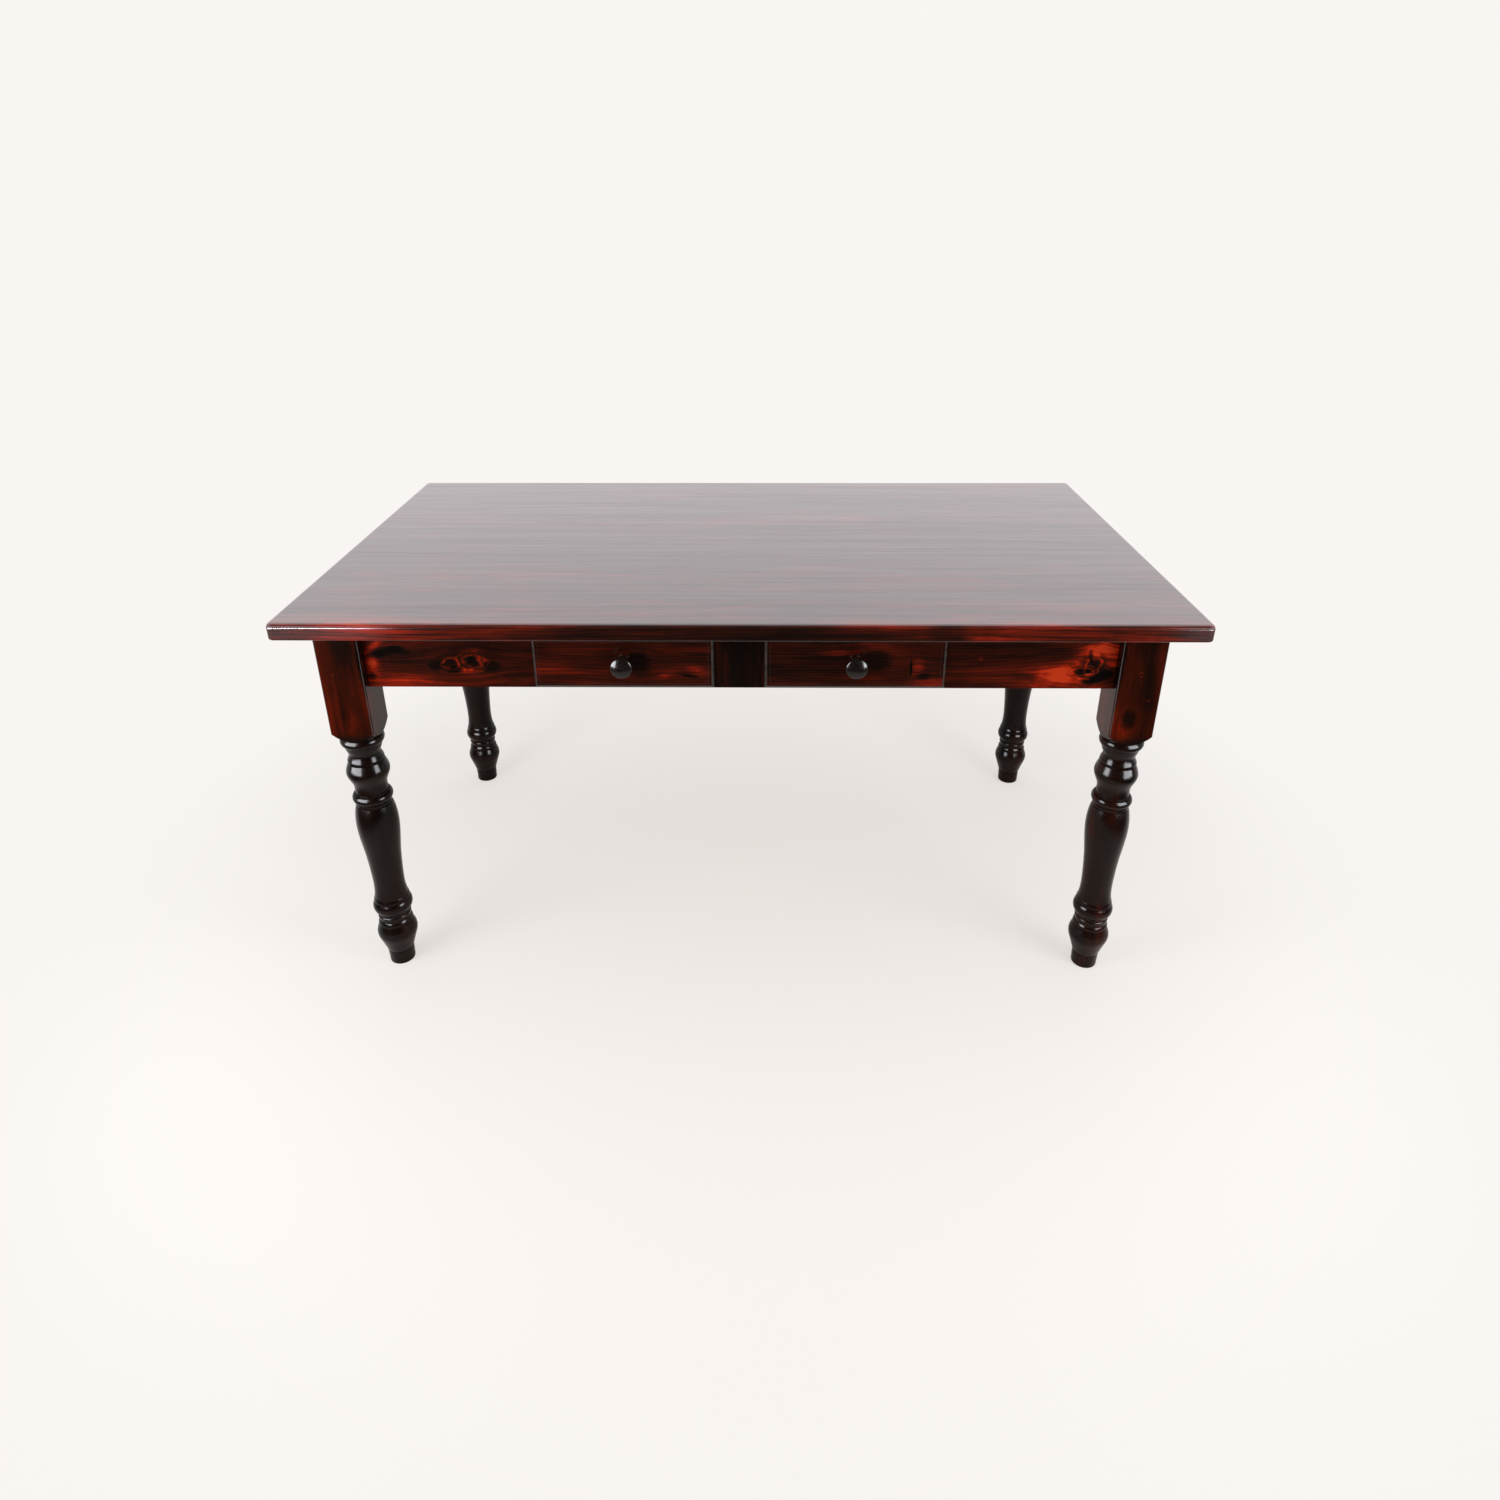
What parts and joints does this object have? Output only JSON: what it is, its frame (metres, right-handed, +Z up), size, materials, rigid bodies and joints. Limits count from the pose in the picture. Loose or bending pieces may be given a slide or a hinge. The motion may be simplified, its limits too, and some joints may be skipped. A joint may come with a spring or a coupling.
{
  "type": "farmhouse dining table",
  "caption": "Rectangular pine dining table on turned legs, with a rounded plank top and lipped drawers with mushroom knobs in the front apron.",
  "frame": {"origin": "on the floor, under the middle of the top", "axes": "+X along the length to the right as seen from the front, +Y from the drawer side to the back, +Z up"},
  "size_m": [1.524, 0.864, 0.762],
  "materials": {
    "top_lacquered_pine": "dark red-brown stained pine under gloss lacquer",
    "stained_pine": "dark red-brown stained knotty pine, satin gloss lacquer",
    "turned_lacquered_pine": "near-black brown stained pine under gloss lacquer",
    "knob_dark_lacquer": "dark grey-brown satin lacquer",
    "bare_pine": "planed pine without stain",
    "birch_plywood": "sanded thin plywood",
    "zinc_steel": "bright zinc plate"
  },
  "bodies": {
    "table_frame": {"back_apron": "stained_pine", "corner_block_back_left": "bare_pine", "corner_block_back_right": "bare_pine", "corner_block_front_left": "bare_pine", "corner_block_front_right": "bare_pine", "corner_bolts": "zinc_steel", "corner_nuts": "zinc_steel", "corner_screws": "zinc_steel", "corner_washers": "zinc_steel", "drawer_stop_screws": "zinc_steel", "drawer_stops": "bare_pine", "front_centre_stile": "stained_pine", "front_lower_rail_left": "stained_pine", "front_lower_rail_right": "stained_pine", "front_panel_left": "stained_pine", "front_panel_right": "stained_pine", "front_upper_rail_left": "stained_pine", "front_upper_rail_right": "stained_pine", "kicker_screws": "zinc_steel", "left_drawer_kicker": "bare_pine", "left_drawer_runner_left": "bare_pine", "left_drawer_runner_right": "bare_pine", "leg_back_left": "turned_lacquered_pine", "leg_back_right": "turned_lacquered_pine", "leg_front_left": "turned_lacquered_pine", "leg_front_right": "turned_lacquered_pine", "right_drawer_kicker": "bare_pine", "right_drawer_runner_left": "bare_pine", "right_drawer_runner_right": "bare_pine", "side_apron_left": "stained_pine", "side_apron_right": "stained_pine", "top_board_1": "top_lacquered_pine", "top_board_2": "top_lacquered_pine", "top_board_3": "top_lacquered_pine", "top_board_4": "top_lacquered_pine", "top_board_5": "top_lacquered_pine", "top_board_6": "top_lacquered_pine", "top_button_screws": "zinc_steel", "top_buttons": "bare_pine"},
    "left_drawer": {"left_drawer_back": "bare_pine", "left_drawer_bottom": "birch_plywood", "left_drawer_bottom_screws": "zinc_steel", "left_drawer_front": "stained_pine", "left_drawer_knob": "knob_dark_lacquer", "left_drawer_knob_screw": "zinc_steel", "left_drawer_side_left": "bare_pine", "left_drawer_side_right": "bare_pine"},
    "right_drawer": {"right_drawer_back": "bare_pine", "right_drawer_bottom": "birch_plywood", "right_drawer_bottom_screws": "zinc_steel", "right_drawer_front": "stained_pine", "right_drawer_knob": "knob_dark_lacquer", "right_drawer_knob_screw": "zinc_steel", "right_drawer_side_left": "bare_pine", "right_drawer_side_right": "bare_pine"}
  },
  "joints": [
    {"name": "left_drawer_slide", "type": "slide", "parent": "table_frame", "child": "left_drawer", "axis": [0, -1, 0], "range_m": [0, 0.3]},
    {"name": "right_drawer_slide", "type": "slide", "parent": "table_frame", "child": "right_drawer", "axis": [0, -1, 0], "range_m": [0, 0.3]}
  ]
}
